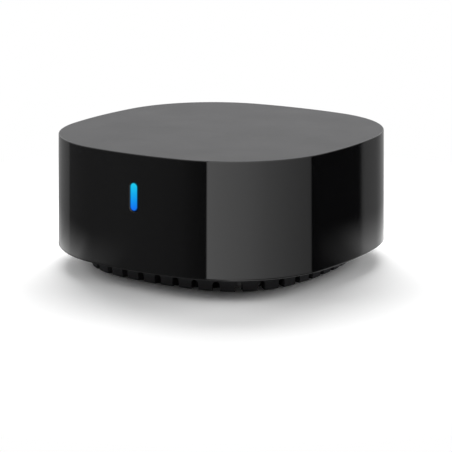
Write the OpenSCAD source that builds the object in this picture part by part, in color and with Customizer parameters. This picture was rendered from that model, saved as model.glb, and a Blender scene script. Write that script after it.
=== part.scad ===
// Infrared remote hub: a drafted squircle housing on a notched base ring, with its board,
// emitters, socket and reset button inside. Millimetres, +Z up, origin at the middle of the
// footprint on the surface it stands on, front with the status light towards -Y.

/* [Housing] */
// Width of the housing across its lower edge
body_w = 70; // [66:0.5:76]
// Height of the housing wall
body_h = 26; // [25:0.5:30]
// Radius of the four long arcs of the outline
side_arc_r = 89.32; // [80:0.01:110]
// Radius of the four corner arcs of the outline
corner_arc_r = 26.04; // [23:0.01:28]
// How far the wall leans in at its top edge
wall_draft = 0.5; // [0.2:0.1:0.9]
// Thickness of the wall
wall_t = 2; // [1.6:0.1:2.4]
// Thickness of the top
top_t = 2; // [1.6:0.1:2.4]
// Chamfer of the lower edge
lower_chamfer = 0.4; // [0.2:0.1:0.8]
// Chamfer of the top edge
top_chamfer = 0.2; // [0.1:0.05:0.5]
// Radius of the four screw posts under the top
post_r = 3.2; // [2.8:0.1:3.6]
// Depth of the screw bore in each post
post_bore_depth = 12; // [10:0.5:14]

/* [Base] */
// Height of the housing's lower edge above the surface
body_lift = 4.5; // [4.4:0.1:6]
// How far the foot of the base ring is set back from the housing's lower edge
ring_set_back = 7.4; // [7:0.1:7.8]
// Radius of the ring's four long arcs
ring_side_arc_r = 66.8; // [60:0.1:75]
// Radius of the ring's four corner arcs
ring_corner_arc_r = 18; // [17:0.1:19]
// How much the ring widens towards its top
ring_flare = 0.4; // [0.2:0.1:1.2]
// Thickness of the ring's wall at its foot
ring_wall_t = 2.4; // [2:0.1:3]
// Number of notches round the ring
notch_count = 38; // [24:1:44]
// Width of each notch
notch_w = 1.6; // [1:0.1:2]
// Height of each notch above the ring's foot
notch_h = 2.2; // [1.2:0.1:2.2]
// Thickness of the ring's four screw lugs
lug_t = 1.2; // [1:0.1:1.3]
// How far the rubber feet stand below the ring
foot_proud = 0.2; // [0.2:0.1:0.6]
// Radius of each rubber foot
foot_r = 4; // [3.6:0.1:4.4]
// Thickness of each rubber foot
foot_t = 1.5; // [1.2:0.1:1.6]

/* [Lower case] */
// Thickness of the floor plate
plate_t = 2; // [1.6:0.1:2.6]
// Height of the locating lip inside the wall
lip_h = 2.5; // [1.5:0.1:4]
// Thickness of the locating lip
lip_t = 1.2; // [0.8:0.1:1.6]
// Height of the raised field that centres the ring
spigot_h = 0.8; // [0.5:0.1:1]
// Radius of the bare rating plate
label_r = 12.5; // [9:0.5:13]
// Thickness of the rating plate
label_t = 0.25; // [0.15:0.05:0.4]
// Number of vent holes round the rating plate
vent_count = 24; // [12:1:30]
// Radius of each vent hole
vent_r = 0.8; // [0.5:0.1:0.9]

/* [Status light] */
// Width of the status window
window_w = 2.15; // [1.6:0.05:3]
// Height of the status window
window_h = 6.45; // [5:0.05:8]
// Height of the window's middle above the housing's lower edge
window_rise = 16.6; // [15.5:0.1:17]
// Width of the window's hidden rim
window_rim = 0.7; // [0.4:0.1:1]
// Thickness of the window's hidden rim
window_rim_t = 0.8; // [0.5:0.1:1]

/* [Main board] */
// Gap from the floor plate up to the board
board_gap = 4.5; // [4:0.1:5]
// Thickness of the board
board_t = 1.6; // [1:0.1:1.8]
// Gap from the inside of the wall to the board's edge
board_edge_gap = 5.5; // [5:0.1:6]

/* [Infrared emitters] */
// Lens radius
led_r = 2.5; // [2:0.1:2.5]
// Length of an emitter from its flange to the tip of its dome
led_len = 8.6; // [7.5:0.1:8.6]
// Gap from the inside of the wall's narrowest part to the dome tips
led_tip_gap = 2.9; // [2.5:0.1:3.2]

/* [Power socket] */
// Outer width of the socket shell
usb_w = 8.94; // [8.9:0.01:9]
// Outer height of the socket shell
usb_h = 3.2; // [3.1:0.01:3.3]
// Length of the socket shell
usb_len = 7.3; // [6.8:0.1:7.6]
// Width of the plug opening in the wall
port_w = 12.6; // [12.4:0.1:13.4]
// Height of the plug opening in the wall
port_h = 6.8; // [6.6:0.1:7.2]
// Depth from the inside of the wall to the socket's mouth wall
port_depth = 2.3; // [2.2:0.1:2.6]

/* [Reset button] */
// Radius of the button's cap
button_r = 1.5; // [1.2:0.1:1.8]
// How far the cap stands out of the wall
button_proud = 0.45; // [0.4:0.05:0.6]
// Distance of the button from the middle of the rear wall
button_x = 12; // [11.5:0.1:12.5]
// How far the button travels
button_travel = 0.4; // [0.3:0.05:0.4]

/* [Hidden] */
$fn = 96;
// Steps in a full turn of the long arcs, which show only a few degrees of it
long_arc_fn = 720;

// Overrun of every cut past the face that it opens
cut_over = 0.5;
// Gap between pieces that are pushed together
fit_gap = 0.15;
// Gap round a pin or button that slides in a bore
slide_gap = 0.08;
// Gap between a screw and the bore that it cuts into
thread_gap = 0.02;
// Gap round a screw in a hole that it passes freely
free_gap = 0.15;

// Width of the base ring across its foot
ring_w = body_w - 2 * ring_set_back;

// Outlines as half width, long arc radius and corner arc radius
body_outline = [body_w / 2, side_arc_r, corner_arc_r];
ring_outline = [ring_w / 2, ring_side_arc_r, ring_corner_arc_r];

// Levels, from the surface upwards
rim_z = body_lift;
top_z = rim_z + body_h;
ceiling_z = top_z - top_t;
field_z = rim_z - spigot_h;
plate_z = rim_z + plate_t;
board_z = plate_z + board_gap;
board_top = board_z + board_t;
socket_z = board_top + usb_h / 2;
window_z = rim_z + window_rise;

// Case screws, one over each foot
case_screw_r = 1.3;
case_screw_len = 14;
case_head_r = 2.2;
case_head_h = 1.6;
head_gap = 0.5;
foot_wall = 0.9;
foot_fit = 0.1;
foot_seat_depth = 0.6;
foot_boss_r = foot_r + foot_fit + foot_wall;
foot_boss_gap = 0.4;
screw_seat_z = foot_t + case_head_h + head_gap;
socket_wall = 1;
post_socket_depth = 1;
post_boss_r = post_r + fit_gap + socket_wall;
post_boss_z = board_z - 2 * post_socket_depth;
post_end_z = post_boss_z - post_socket_depth;
// Distance of each corner screw from both centre lines, inside the ring's corner arc
corner_at = corner_centre(ring_outline)
    + (ring_corner_arc_r - ring_wall_t - foot_boss_gap - foot_boss_r) / sqrt(2);

// Where the row of notches starts, as a share of one step from the middle of the front
notch_start_share = 0.26;

// Small screws that hold the ring and the board
small_screw_r = 1;
small_head_r = 1.9;
small_head_h = 1.2;
ring_screw_len = 4;
board_screw_len = 5.5;
recess_w = 0.5;
recess_depth_share = 0.55;
recess_span_share = 1.3;
lug_r = 2.6;
lug_reach = 3.3;
lug_at = ring_w / 2 - ring_wall_t - lug_reach;
board_post_r = 2.8;
board_post_floor = 0.6;

// Plug opening, the block behind it and the socket
port_corner_r = 1.6;
port_wall = 1.5;
port_end_t = 1.2;
socket_fit = 0.13;
socket_set_back = 0.2;
shell_t = 0.3;
tongue_w = 6.7;
tongue_t = 0.7;
tongue_set_back = 0.6;
insulator_t = 1.2;
port_end_y = body_outline[0] - wall_t - port_depth;
socket_front_y = port_end_y - socket_set_back;
socket_back_y = socket_front_y - usb_len;
port_block_w = port_w + 2 * port_wall;
port_block_top = socket_z + port_h / 2 + port_wall;
rear_screw_gap = 0.6;
rear_screw_y = socket_back_y - small_head_r - rear_screw_gap;
board_screw_places = [[lug_at, 0], [-lug_at, 0], [0, -lug_at], [0, rear_screw_y]];

// Vent holes between the rating plate and the foot bosses
vent_gap = 2.9;
vent_ring_r = label_r + vent_gap + vent_r;

// Status light
light_box_wall = 1.1;
light_box_gap = 0.45;
light_w = window_w + 2 * window_rim;
light_h = window_h + 2 * window_rim;
indicator_w = 8;
indicator_t = 1;
indicator_top_gap = 0.6;
indicator_set_back = 0.9;
indicator_y = -(body_outline[0] - wall_t - board_edge_gap - indicator_set_back);
indicator_h = window_z + light_h / 2 + light_box_wall + indicator_top_gap - board_top;
status_led_w = 1.6;
status_led_h = 2;
status_led_t = 0.8;
status_lens_r = 0.6;
status_lens_t = 0.2;
status_led_pitch = 3.4;
window_back_y = -(body_outline[0] - wall_inset(window_z) - wall_t - fit_gap - window_rim_t);

// Emitters, at even places round the board, the last of which the reset switch takes
led_places = 8;
led_flange_r = 2.9;
led_flange_t = 1;
lead_t = 0.5;
lead_pitch = 2.54;
lead_run = 1.4;
led_sink = 0.2;
led_z = board_top + led_flange_r;
led_back_r = body_outline[0] - wall_t - led_tip_gap - led_len;
led_step = 360 / led_places;
led_top_x = 3.4;
led_top_y = 14;
led_top_rise = 3;

// Radio module
module_w = 15;
module_l = 24;
module_t = 0.8;
module_x = -7.5;
module_y = 0;
pad_pitch = 2;
pad_r = 0.35;
pads_per_side = 8;
can_w = 12.4;
can_l = 15;
can_h = 2.2;
can_t = 0.2;
can_shift = 3.2;
can_corner_r = 1;

// Infrared receiver
receiver_w = 6;
receiver_d = 4.4;
receiver_h = 7;
receiver_dome_r = 2.6;
receiver_dome_out = 1.2;
receiver_top_gap = 2;
receiver_leg_h = ceiling_z - receiver_top_gap - receiver_h - board_top;
receiver_x = 8;
receiver_y = -12.5;

// Power parts
capacitor_r = 3.15;
capacitor_h = 7.7;
capacitor_base_w = 6.6;
capacitor_base_t = 0.9;
capacitor_groove = 0.25;
capacitor_groove_h = 0.8;
capacitor_x = 9;
capacitor_y = 8.9;
inductor_w = 5;
inductor_h = 2.8;
inductor_corner = 0.8;
inductor_core_r = 1.9;
inductor_core_h = 0.3;
inductor_x = 10;
inductor_y = 2;
regulator_w = 6.5;
regulator_d = 3.5;
regulator_h = 1.6;
regulator_leg_w = 0.8;
regulator_leg_len = 1.6;
regulator_leg_t = 0.3;
regulator_leg_pitch = 2.3;
regulator_tab_w = 3;
regulator_x = 10.5;
regulator_y = -5.5;

// Small chips
transistor_w = 2.9;
transistor_d = 1.3;
transistor_h = 1;
transistor_leg_w = 0.4;
transistor_leg_len = 0.6;
transistor_leg_t = 0.2;
transistor_leg_pitch = 1.9;
transistor_front_y = -14.5;
transistor_rear_y = 7.6;
transistor_x = 3.2;
transistor_side_x = 15.9;
transistor_places = [[transistor_x, transistor_front_y], [transistor_x, transistor_rear_y], [transistor_side_x, 0]];
chip_l = 1.6;
chip_w = 0.8;
chip_h = 0.5;
chip_shift = 3.4;
chip_row_x = 3.6;
chip_row_y = -8;
chip_row_pitch = 2;
chip_row_count = 4;

// Reset switch and button
switch_w = 6;
switch_d = 3.6;
switch_h = 3.2;
switch_edge_gap = 0.3;
plunger_r = 0.7;
plunger_out = 1.1;
plunger_in = 1;
plunger_room = 0.1;
stem_r = 1;
button_flange_r = 2.4;
button_flange_t = 0.8;
button_round = 0.3;
guide_t = 1.4;
guide_top = 1.4;
guide_gap = 0.4;
switch_front_y = edge_at(body_outline, wall_t + board_edge_gap, button_x) - switch_edge_gap;
plunger_tip_y = switch_front_y + plunger_out;
flange_front_y = edge_at(body_outline, wall_t + wall_inset(socket_z), button_x + button_flange_r) - fit_gap;
flange_back_y = flange_front_y - button_flange_t;
button_end_y = edge_at(body_outline, wall_inset(socket_z), button_x) + button_proud;
guide_front_y = flange_back_y - button_travel - guide_gap;

// Distance from both centre lines to the centre of each corner arc, so that the arcs meet smoothly
function corner_centre(o) =
    let (k = o[0] - o[1], d = o[1] - o[2])
    (k + sqrt(2 * d * d - k * k)) / 2;

// Half depth of an outline, set in by some amount, at distance x from its centre line
function edge_at(o, inset, x) =
    let (c = corner_centre(o), k = o[0] - o[1], phi = atan2(c, c - k))
    x < (o[1] - inset) * sin(phi)
        ? k + sqrt(pow(o[1] - inset, 2) - x * x)
        : c + sqrt(pow(o[2] - inset, 2) - pow(x - c, 2));

// How far the drafted wall has leaned in at height z
function wall_inset(z) = wall_draft * (z - rim_z) / body_h;

// A round solid whose radius follows [height, inset] steps
module turned(radius, steps) {
    last = len(steps) - 1;
    rotate_extrude($fn = long_arc_fn)
        polygon(concat([[0, steps[0][0]]], [for (s = steps) [radius - s[1], s[0]]], [[0, steps[last][0]]]));
}

// A squircle solid: its walls follow [height, inset] steps, its arcs keep their centres
module squircle(o, steps) {
    c = corner_centre(o);
    k = o[0] - o[1];
    phi = atan2(c, c - k);
    low = steps[0][0];
    high = steps[len(steps) - 1][0];
    reach = 2 * o[0];
    translate([-c, -c, low])
        cube([2 * c, 2 * c, high - low]);
    for (quarter = [0 : 3])
        rotate(90 * quarter) {
            intersection() {
                translate([k, 0, 0])
                    turned(o[1], steps);
                translate([0, 0, low - cut_over])
                    linear_extrude(high - low + 2 * cut_over)
                        polygon([[c, -c], [c + reach * cos(phi), -c - reach * sin(phi)],
                            [c + reach * cos(phi), c + reach * sin(phi)], [c, c]]);
            }
            intersection() {
                translate([c, c, 0])
                    turned(o[2], steps);
                translate([0, 0, low - cut_over])
                    linear_extrude(high - low + 2 * cut_over)
                        polygon([[c, c], [c + reach * cos(phi), c + reach * sin(phi)], [c + reach, c + reach],
                            [c + reach * sin(phi), c + reach * cos(phi)]]);
            }
        }
}

// The space inside the housing wall, set in by a further gap
module inside_wall(low, high, gap) {
    squircle(body_outline, [[low, wall_t + wall_inset(low) + gap], [high, wall_t + wall_inset(high) + gap]]);
}

module at_corners() {
    for (x = [-1, 1], y = [-1, 1])
        translate([x * corner_at, y * corner_at, 0])
            children();
}

module at_lugs() {
    for (quarter = [0 : 3])
        rotate(90 * quarter)
            translate([lug_at, 0, 0])
                children();
}

module at_board_screws() {
    for (place = board_screw_places)
        translate([place[0], place[1], 0])
            children();
}

// Carries a flat X-Z shape from one depth to another along Y
module along_y(from, to) {
    translate([0, to, 0])
        rotate([90, 0, 0])
            linear_extrude(to - from)
                children();
}

// An upright shape with round ends
module upright_pill(w, h) {
    square([w, h - w], center = true);
    for (side = [-1, 1])
        translate([0, side * (h - w) / 2])
            circle(w / 2);
}

// A lying shape with round ends
module lying_pill(w, h) {
    rotate(90)
        upright_pill(h, w);
}

module rounded_rectangle(w, h, r) {
    square([w - 2 * r, h], center = true);
    square([w, h - 2 * r], center = true);
    for (x = [-1, 1], y = [-1, 1])
        translate([x * (w / 2 - r), y * (h / 2 - r)])
            circle(r);
}

// A box centred in X and Y that stands on z = 0
module block(w, d, h) {
    translate([-w / 2, -d / 2, 0])
        cube([w, d, h]);
}

// A screw with its bearing face at z = 0, its shank upwards and its crossed head below
module screw(r, length, head_r, head_h) {
    difference() {
        union() {
            cylinder(h = length, r = r);
            translate([0, 0, -head_h])
                cylinder(h = head_h, r = head_r);
        }
        for (turn = [0, 90])
            rotate(turn)
                translate([0, 0, -head_h - cut_over])
                    block(head_r * recess_span_share, recess_w, cut_over + head_h * recess_depth_share);
    }
}

module port_opening() {
    translate([0, socket_z])
        rounded_rectangle(port_w, port_h, port_corner_r);
}

module upper_housing() color([0.03, 0.03, 0.035]) {
    difference() {
        union() {
            difference() {
                squircle(body_outline, [[rim_z, lower_chamfer], [rim_z + lower_chamfer, 0],
                    [top_z - top_chamfer, wall_draft], [top_z, wall_draft + top_chamfer]]);
                inside_wall(rim_z - cut_over, ceiling_z, 0);
            }
            at_corners()
                translate([0, 0, post_end_z])
                    cylinder(h = ceiling_z - post_end_z + top_t / 2, r = post_r);
        }
        at_corners()
            translate([0, 0, post_end_z - cut_over])
                cylinder(h = post_bore_depth + cut_over, r = case_screw_r + thread_gap);
        along_y(port_end_y, body_w)
            port_opening();
        along_y(flange_back_y, body_w)
            translate([-button_x, socket_z])
                circle(button_r + slide_gap);
        along_y(-body_w, window_back_y)
            translate([0, window_z])
                upright_pill(window_w + 2 * slide_gap, window_h + 2 * slide_gap);
    }
}

module case_floor() {
    lip_top = plate_z + lip_h;
    inside_wall(rim_z, plate_z, fit_gap);
    difference() {
        inside_wall(rim_z, lip_top, fit_gap);
        inside_wall(plate_z - plate_t / 2, lip_top + cut_over, fit_gap + lip_t);
    }
    squircle(ring_outline, [[field_z, ring_wall_t + fit_gap], [plate_z, ring_wall_t + fit_gap]]);
    at_corners() {
        translate([0, 0, foot_t - foot_seat_depth])
            cylinder(h = plate_z - foot_t + foot_seat_depth, r = foot_boss_r);
        translate([0, 0, rim_z])
            cylinder(h = post_boss_z - rim_z, r = post_boss_r);
    }
    at_board_screws()
        translate([0, 0, rim_z])
            cylinder(h = board_z - rim_z, r = board_post_r);
}

module port_block() {
    intersection() {
        translate([-port_block_w / 2, port_end_y - port_end_t, rim_z])
            cube([port_block_w, body_w, port_block_top - rim_z]);
        inside_wall(rim_z, port_block_top, fit_gap);
    }
}

module button_guide() {
    translate([-button_x, guide_front_y - guide_t / 2, rim_z])
        block(2 * button_flange_r, guide_t, socket_z + stem_r + guide_top - rim_z);
}

module lower_case() color([0.07, 0.07, 0.08]) {
    difference() {
        union() {
            case_floor();
            port_block();
            button_guide();
        }
        at_corners() {
            translate([0, 0, foot_t - foot_seat_depth - cut_over])
                cylinder(h = foot_seat_depth + cut_over, r = foot_r + foot_fit);
            translate([0, 0, foot_t - cut_over])
                cylinder(h = screw_seat_z - foot_t + cut_over, r = case_head_r + free_gap);
            translate([0, 0, screw_seat_z - cut_over])
                cylinder(h = post_boss_z - screw_seat_z + 2 * cut_over, r = case_screw_r + free_gap);
            translate([0, 0, post_end_z])
                cylinder(h = post_socket_depth + cut_over, r = post_r + fit_gap);
        }
        at_board_screws()
            translate([0, 0, plate_z + board_post_floor])
                cylinder(h = board_gap + cut_over, r = small_screw_r + thread_gap);
        at_lugs()
            translate([0, 0, field_z - cut_over])
                cylinder(h = ring_screw_len - lug_t + cut_over + thread_gap, r = small_screw_r + thread_gap);
        translate([0, 0, field_z - cut_over])
            cylinder(h = label_t + cut_over, r = label_r + fit_gap);
        for (i = [0 : vent_count - 1])
            rotate((i + 0.5) * 360 / vent_count)
                translate([vent_ring_r, 0, field_z - cut_over])
                    cylinder(h = plate_z - field_z + 2 * cut_over, r = vent_r);
        along_y(port_end_y, body_w)
            port_opening();
        along_y(port_end_y - port_end_t - cut_over, body_w)
            translate([0, socket_z])
                lying_pill(usb_w + 2 * socket_fit, usb_h + 2 * socket_fit);
        along_y(guide_front_y - guide_t - cut_over, guide_front_y + cut_over)
            translate([-button_x, socket_z])
                circle(stem_r + slide_gap);
    }
}

// An upright opening with a round top, as wide as a notch
module notch_shape() {
    translate([-notch_w / 2, -cut_over])
        square([notch_w, notch_h - notch_w / 2 + cut_over]);
    translate([0, notch_h - notch_w / 2])
        circle(notch_w / 2);
}

module base_ring() color([0.1, 0.1, 0.11]) {
    difference() {
        union() {
            difference() {
                squircle(ring_outline, [[foot_proud, 0], [rim_z, -ring_flare]]);
                squircle(ring_outline, [[foot_proud - cut_over, ring_wall_t], [rim_z + cut_over, ring_wall_t]]);
            }
            at_lugs()
                translate([0, 0, field_z - lug_t]) {
                    cylinder(h = lug_t, r = lug_r);
                    translate([0, -lug_r, 0])
                        cube([lug_reach + ring_wall_t / 2, 2 * lug_r, lug_t]);
                }
        }
        at_lugs()
            translate([0, 0, field_z - lug_t - cut_over])
                cylinder(h = lug_t + 2 * cut_over, r = small_screw_r + free_gap);
        for (i = [0 : notch_count - 1])
            rotate((i + notch_start_share) * 360 / notch_count)
                translate([0, 0, foot_proud])
                    along_y(-ring_w, -lug_at)
                        notch_shape();
    }
}

module foot(x, y) color([0.05, 0.05, 0.05])
    translate([x * corner_at, y * corner_at, 0])
        cylinder(h = foot_t, r = foot_r);

module rating_plate() color([0.16, 0.16, 0.17])
    translate([0, 0, field_z])
        cylinder(h = label_t, r = label_r);

module status_window() color([0.04, 0.55, 0.95]) {
    intersection() {
        along_y(-body_w, window_back_y)
            translate([0, window_z])
                upright_pill(window_w, window_h);
        squircle(body_outline, [[rim_z, 0], [top_z, wall_draft]]);
    }
    intersection() {
        along_y(-body_w, window_back_y)
            translate([0, window_z])
                upright_pill(light_w, light_h);
        inside_wall(plate_z, ceiling_z, fit_gap);
    }
}

module light_box() color("white")
    along_y(window_back_y, indicator_y)
        translate([0, window_z])
            difference() {
                square([light_w + 2 * light_box_wall, light_h + 2 * light_box_wall], center = true);
                square([light_w - 2 * light_box_gap, light_h - 2 * light_box_gap], center = true);
            }

module indicator_board() color([0.1, 0.35, 0.2])
    translate([-indicator_w / 2, indicator_y, board_top])
        cube([indicator_w, indicator_t, indicator_h]);

module status_led(side) color([0.95, 0.95, 0.85])
    translate([0, indicator_y, window_z + side * status_led_pitch / 2]) {
        translate([-status_led_w / 2, -status_led_t, -status_led_h / 2])
            cube([status_led_w, status_led_t, status_led_h]);
        rotate([90, 0, 0])
            cylinder(h = status_led_t + status_lens_t, r = status_lens_r);
    }

module main_board() color([0.1, 0.35, 0.2])
    difference() {
        squircle(body_outline, [[board_z, wall_t + board_edge_gap], [board_top, wall_t + board_edge_gap]]);
        at_corners()
            translate([0, 0, board_z - cut_over])
                cylinder(h = board_t + 2 * cut_over, r = post_r + 2 * fit_gap);
        at_board_screws()
            translate([0, 0, board_z - cut_over])
                cylinder(h = board_t + 2 * cut_over, r = small_screw_r + free_gap);
    }

module radio_module() color([0.08, 0.2, 0.4])
    translate([module_x, module_y, board_top])
        difference() {
            block(module_w, module_l, module_t);
            for (side = [-1, 1], i = [0 : pads_per_side - 1])
                translate([side * module_w / 2, (i - (pads_per_side - 1) / 2) * pad_pitch - can_shift, -cut_over])
                    cylinder(h = module_t + 2 * cut_over, r = pad_r);
        }

module shield_can() color("silver")
    translate([module_x, module_y - can_shift, board_top + module_t])
        difference() {
            linear_extrude(can_h)
                rounded_rectangle(can_w, can_l, can_corner_r);
            translate([0, 0, -cut_over])
                linear_extrude(can_h - can_t + cut_over)
                    rounded_rectangle(can_w - 2 * can_t, can_l - 2 * can_t, can_corner_r - can_t);
        }

// An emitter that points along +X from the back of its flange
module emitter_body() {
    rotate([0, 90, 0]) {
        cylinder(h = led_flange_t, r = led_flange_r);
        cylinder(h = led_len - led_r, r = led_r);
        translate([0, 0, led_len - led_r])
            sphere(led_r);
    }
}

// Turn of each place round the board; the reset switch takes the place after the last emitter
function led_turn(place) = (place - 1.5) * led_step - 180;

module ir_led(place) color([0.2, 0.22, 0.3])
    rotate(led_turn(place))
        translate([led_back_r, 0, led_z]) {
            emitter_body();
            for (side = [-1, 1])
                translate([-lead_run - lead_t, (side * lead_pitch - lead_t) / 2, 0]) {
                    translate([0, 0, -lead_t / 2])
                        cube([lead_run + lead_t + led_sink, lead_t, lead_t]);
                    translate([0, 0, board_top - led_z])
                        cube([lead_t, lead_t, led_z - board_top]);
                }
        }

module ir_led_top() color([0.2, 0.22, 0.3])
    translate([led_top_x, led_top_y, board_top + led_top_rise]) {
        rotate([0, -90, 0])
            emitter_body();
        for (side = [-1, 1])
            translate([side * lead_pitch / 2, 0, -led_top_rise])
                block(lead_t, lead_t, led_top_rise + led_sink);
    }

module ir_receiver() color([0.06, 0.06, 0.07])
    translate([receiver_x, receiver_y, board_top]) {
        translate([0, 0, receiver_leg_h])
            block(receiver_w, receiver_d, receiver_h);
        translate([0, receiver_dome_r - receiver_d / 2 - receiver_dome_out, receiver_leg_h])
            cylinder(h = receiver_h, r = receiver_dome_r);
        for (i = [-1 : 1])
            translate([i * lead_pitch, 0, 0])
                block(lead_t, lead_t, receiver_leg_h + led_sink);
    }

module usb_shell() color("silver")
    difference() {
        along_y(socket_back_y, socket_front_y)
            translate([0, socket_z])
                lying_pill(usb_w, usb_h);
        along_y(socket_back_y + shell_t, socket_front_y + cut_over)
            translate([0, socket_z])
                lying_pill(usb_w - 2 * shell_t, usb_h - 2 * shell_t);
    }

module usb_tongue() color([0.05, 0.05, 0.05]) {
    along_y(socket_back_y + shell_t, socket_back_y + shell_t + insulator_t)
        translate([0, socket_z])
            lying_pill(usb_w - 2 * shell_t, usb_h - 2 * shell_t);
    along_y(socket_back_y + shell_t, socket_front_y - tongue_set_back)
        translate([0, socket_z])
            square([tongue_w, tongue_t], center = true);
}

module reset_switch() color([0.75, 0.75, 0.75])
    difference() {
        translate([-button_x, switch_front_y - switch_d / 2, board_top])
            block(switch_w, switch_d, switch_h);
        along_y(switch_front_y - plunger_in - button_travel - plunger_room, switch_front_y + cut_over)
            translate([-button_x, socket_z])
                circle(plunger_r + slide_gap);
    }

module switch_plunger() color([0.1, 0.1, 0.1])
    along_y(switch_front_y - plunger_in, plunger_tip_y)
        translate([-button_x, socket_z])
            circle(plunger_r);

module reset_button() color([0.03, 0.03, 0.035])
    translate([-button_x, 0, socket_z])
        rotate([-90, 0, 0])
            rotate_extrude()
                polygon([[0, plunger_tip_y], [stem_r, plunger_tip_y], [stem_r, flange_back_y],
                    [button_flange_r, flange_back_y], [button_flange_r, flange_front_y], [button_r, flange_front_y],
                    [button_r, button_end_y - button_round], [button_r - button_round, button_end_y],
                    [0, button_end_y]]);

module bulk_capacitor() color([0.7, 0.7, 0.75])
    translate([capacitor_x, capacitor_y, board_top]) {
        block(capacitor_base_w, capacitor_base_w, capacitor_base_t);
        difference() {
            cylinder(h = capacitor_h, r = capacitor_r);
            translate([0, 0, capacitor_base_t + capacitor_groove_h])
                difference() {
                    cylinder(h = capacitor_groove_h, r = capacitor_r + cut_over);
                    cylinder(h = capacitor_groove_h, r = capacitor_r - capacitor_groove);
                }
        }
    }

module power_inductor() color([0.2, 0.2, 0.2])
    translate([inductor_x, inductor_y, board_top]) {
        linear_extrude(inductor_h)
            rounded_rectangle(inductor_w, inductor_w, inductor_corner);
        cylinder(h = inductor_h + inductor_core_h, r = inductor_core_r);
    }

module regulator_chip() color([0.08, 0.08, 0.08])
    translate([regulator_x, regulator_y, board_top]) {
        block(regulator_w, regulator_d, regulator_h);
        for (i = [-1 : 1])
            translate([i * regulator_leg_pitch, -(regulator_d + regulator_leg_len) / 2, 0])
                block(regulator_leg_w, regulator_leg_len + 2 * led_sink, regulator_leg_t);
        translate([0, (regulator_d + regulator_leg_len) / 2, 0])
            block(regulator_tab_w, regulator_leg_len + 2 * led_sink, regulator_leg_t);
    }

module driver_transistors() color([0.08, 0.08, 0.08])
    for (place = transistor_places)
        translate([place[0], place[1], board_top]) {
            block(transistor_w, transistor_d, transistor_h);
            for (x = [-1, 1])
                translate([x * transistor_leg_pitch / 2, -(transistor_d + transistor_leg_len) / 2, 0])
                    block(transistor_leg_w, transistor_leg_len + 2 * led_sink, transistor_leg_t);
            translate([0, (transistor_d + transistor_leg_len) / 2, 0])
                block(transistor_leg_w, transistor_leg_len + 2 * led_sink, transistor_leg_t);
        }

module chip_resistors() color([0.12, 0.12, 0.12])
    for (place = [1 : led_places - 1])
        rotate(led_turn(place))
            translate([led_back_r - lead_run, chip_shift, board_top])
                block(chip_w, chip_l, chip_h);

module chip_capacitors() color([0.7, 0.55, 0.4])
    for (i = [0 : chip_row_count - 1])
        translate([chip_row_x, chip_row_y + i * chip_row_pitch, board_top])
            block(chip_l, chip_w, chip_h);

module case_screws() color([0.6, 0.6, 0.62])
    at_corners()
        translate([0, 0, screw_seat_z])
            screw(case_screw_r, case_screw_len, case_head_r, case_head_h);

module board_screws() color([0.6, 0.6, 0.62])
    at_board_screws()
        translate([0, 0, board_top])
            mirror([0, 0, 1])
                screw(small_screw_r, board_screw_len, small_head_r, small_head_h);

module ring_screws() color([0.6, 0.6, 0.62])
    at_lugs()
        translate([0, 0, field_z - lug_t])
            screw(small_screw_r, ring_screw_len, small_head_r, small_head_h);

upper_housing();
lower_case();
base_ring();
foot(-1, -1);  // foot_front_left
foot(1, -1);  // foot_front_right
foot(-1, 1);  // foot_rear_left
foot(1, 1);  // foot_rear_right
rating_plate();
status_window();
light_box();
indicator_board();
status_led(1);  // status_led_upper
status_led(-1);  // status_led_lower
main_board();
radio_module();
shield_can();
ir_led(1);  // ir_led_1
ir_led(2);  // ir_led_2
ir_led(3);  // ir_led_3
ir_led(4);  // ir_led_4
ir_led(5);  // ir_led_5
ir_led(6);  // ir_led_6
ir_led(7);  // ir_led_7
ir_led_top();
ir_receiver();
usb_shell();
usb_tongue();
reset_switch();
switch_plunger();
reset_button();
bulk_capacitor();
power_inductor();
regulator_chip();
driver_transistors();
chip_resistors();
chip_capacitors();
case_screws();
board_screws();
ring_screws();
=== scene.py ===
import math

import bmesh
import bpy
from mathutils import Matrix, Vector


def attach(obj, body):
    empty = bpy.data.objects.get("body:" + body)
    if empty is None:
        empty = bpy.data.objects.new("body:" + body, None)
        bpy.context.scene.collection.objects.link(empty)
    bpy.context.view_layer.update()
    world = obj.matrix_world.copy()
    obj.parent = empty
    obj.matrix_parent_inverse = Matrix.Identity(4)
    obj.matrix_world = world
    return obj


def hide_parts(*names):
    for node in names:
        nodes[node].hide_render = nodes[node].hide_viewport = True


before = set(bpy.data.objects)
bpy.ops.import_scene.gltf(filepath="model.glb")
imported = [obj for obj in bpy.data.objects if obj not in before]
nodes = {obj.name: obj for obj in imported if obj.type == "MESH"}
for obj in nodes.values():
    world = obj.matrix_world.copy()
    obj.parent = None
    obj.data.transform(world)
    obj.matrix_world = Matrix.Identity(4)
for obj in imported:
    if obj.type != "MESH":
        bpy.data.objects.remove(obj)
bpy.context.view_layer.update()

MM = 0.001

# Outlines as half width, long arc radius and corner arc radius, in millimetres
BODY = (35.0, 89.32, 26.04)
RING = (27.6, 66.8, 18.0)
LONG_ARC_STEPS = 72
CORNER_STEPS = 104

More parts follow.
